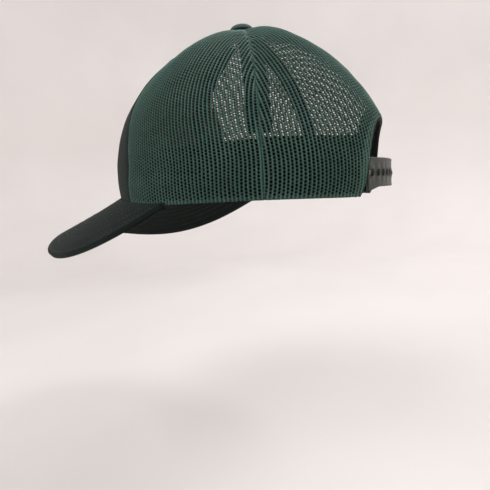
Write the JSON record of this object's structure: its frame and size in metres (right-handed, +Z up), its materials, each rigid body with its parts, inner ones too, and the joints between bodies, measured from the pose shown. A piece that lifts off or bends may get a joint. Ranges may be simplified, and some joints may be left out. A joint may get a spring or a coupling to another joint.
{
  "type": "trucker mesh cap",
  "caption": "Soft cap with a solid foam-backed front panel, see-through mesh sides and back, an arched visor, a top button and a two-strap snap closure over a rear opening.",
  "frame": {"origin": "centre of the head opening, in the plane of the rim", "axes": "+Z up as worn, the visor points to -Y, the wearer's left is +X"},
  "size_m": [0.1756, 0.2705, 0.1571],
  "materials": {
    "front_cloth": "smooth woven polyester, matt",
    "foam": "open-cell foam",
    "mesh": "knitted mesh, slight sheen",
    "tape": "woven tape",
    "sweatband": "brushed cotton",
    "visor_cloth": "smooth woven polyester, matt",
    "visor_under": "plain weave, matt",
    "board": "moulded board",
    "button_cloth": "cloth drawn over a dome",
    "rivet": "stamped",
    "strap": "satin moulded polyethylene"
  },
  "bodies": {
    "cap": {"front_panel": "front_cloth", "front_foam": "foam", "side_panel_left": "mesh", "side_panel_right": "mesh", "rear_panel_left": "mesh", "rear_panel_right": "mesh", "seam_tape_front_left": "tape", "seam_tape_front_right": "tape", "seam_tape_side_left": "tape", "seam_tape_side_right": "tape", "seam_tape_rear": "tape", "opening_binding": "tape", "sweatband": "sweatband", "visor_top_fabric": "visor_cloth", "visor_board": "board", "visor_under_fabric": "visor_under", "button_cover": "button_cloth", "button_rivet": "rivet"},
    "hole_strap": {"hole_strap": "strap"},
    "peg_strap": {"peg_strap": "strap"}
  },
  "joints": [
    {"name": "hole_strap_swing", "type": "hinge", "parent": "cap", "child": "hole_strap", "pos_m": [0.0411, 0.09, 0.0105], "axis": [0, 0, 1], "range_deg": [-50, 0], "stiffness_Nm_per_rad": 0.01},
    {"name": "peg_strap_swing", "type": "hinge", "parent": "cap", "child": "peg_strap", "pos_m": [-0.0401, 0.0883, 0.0105], "axis": [0, 0, 1], "range_deg": [-28, 0], "stiffness_Nm_per_rad": 0.01}
  ]
}
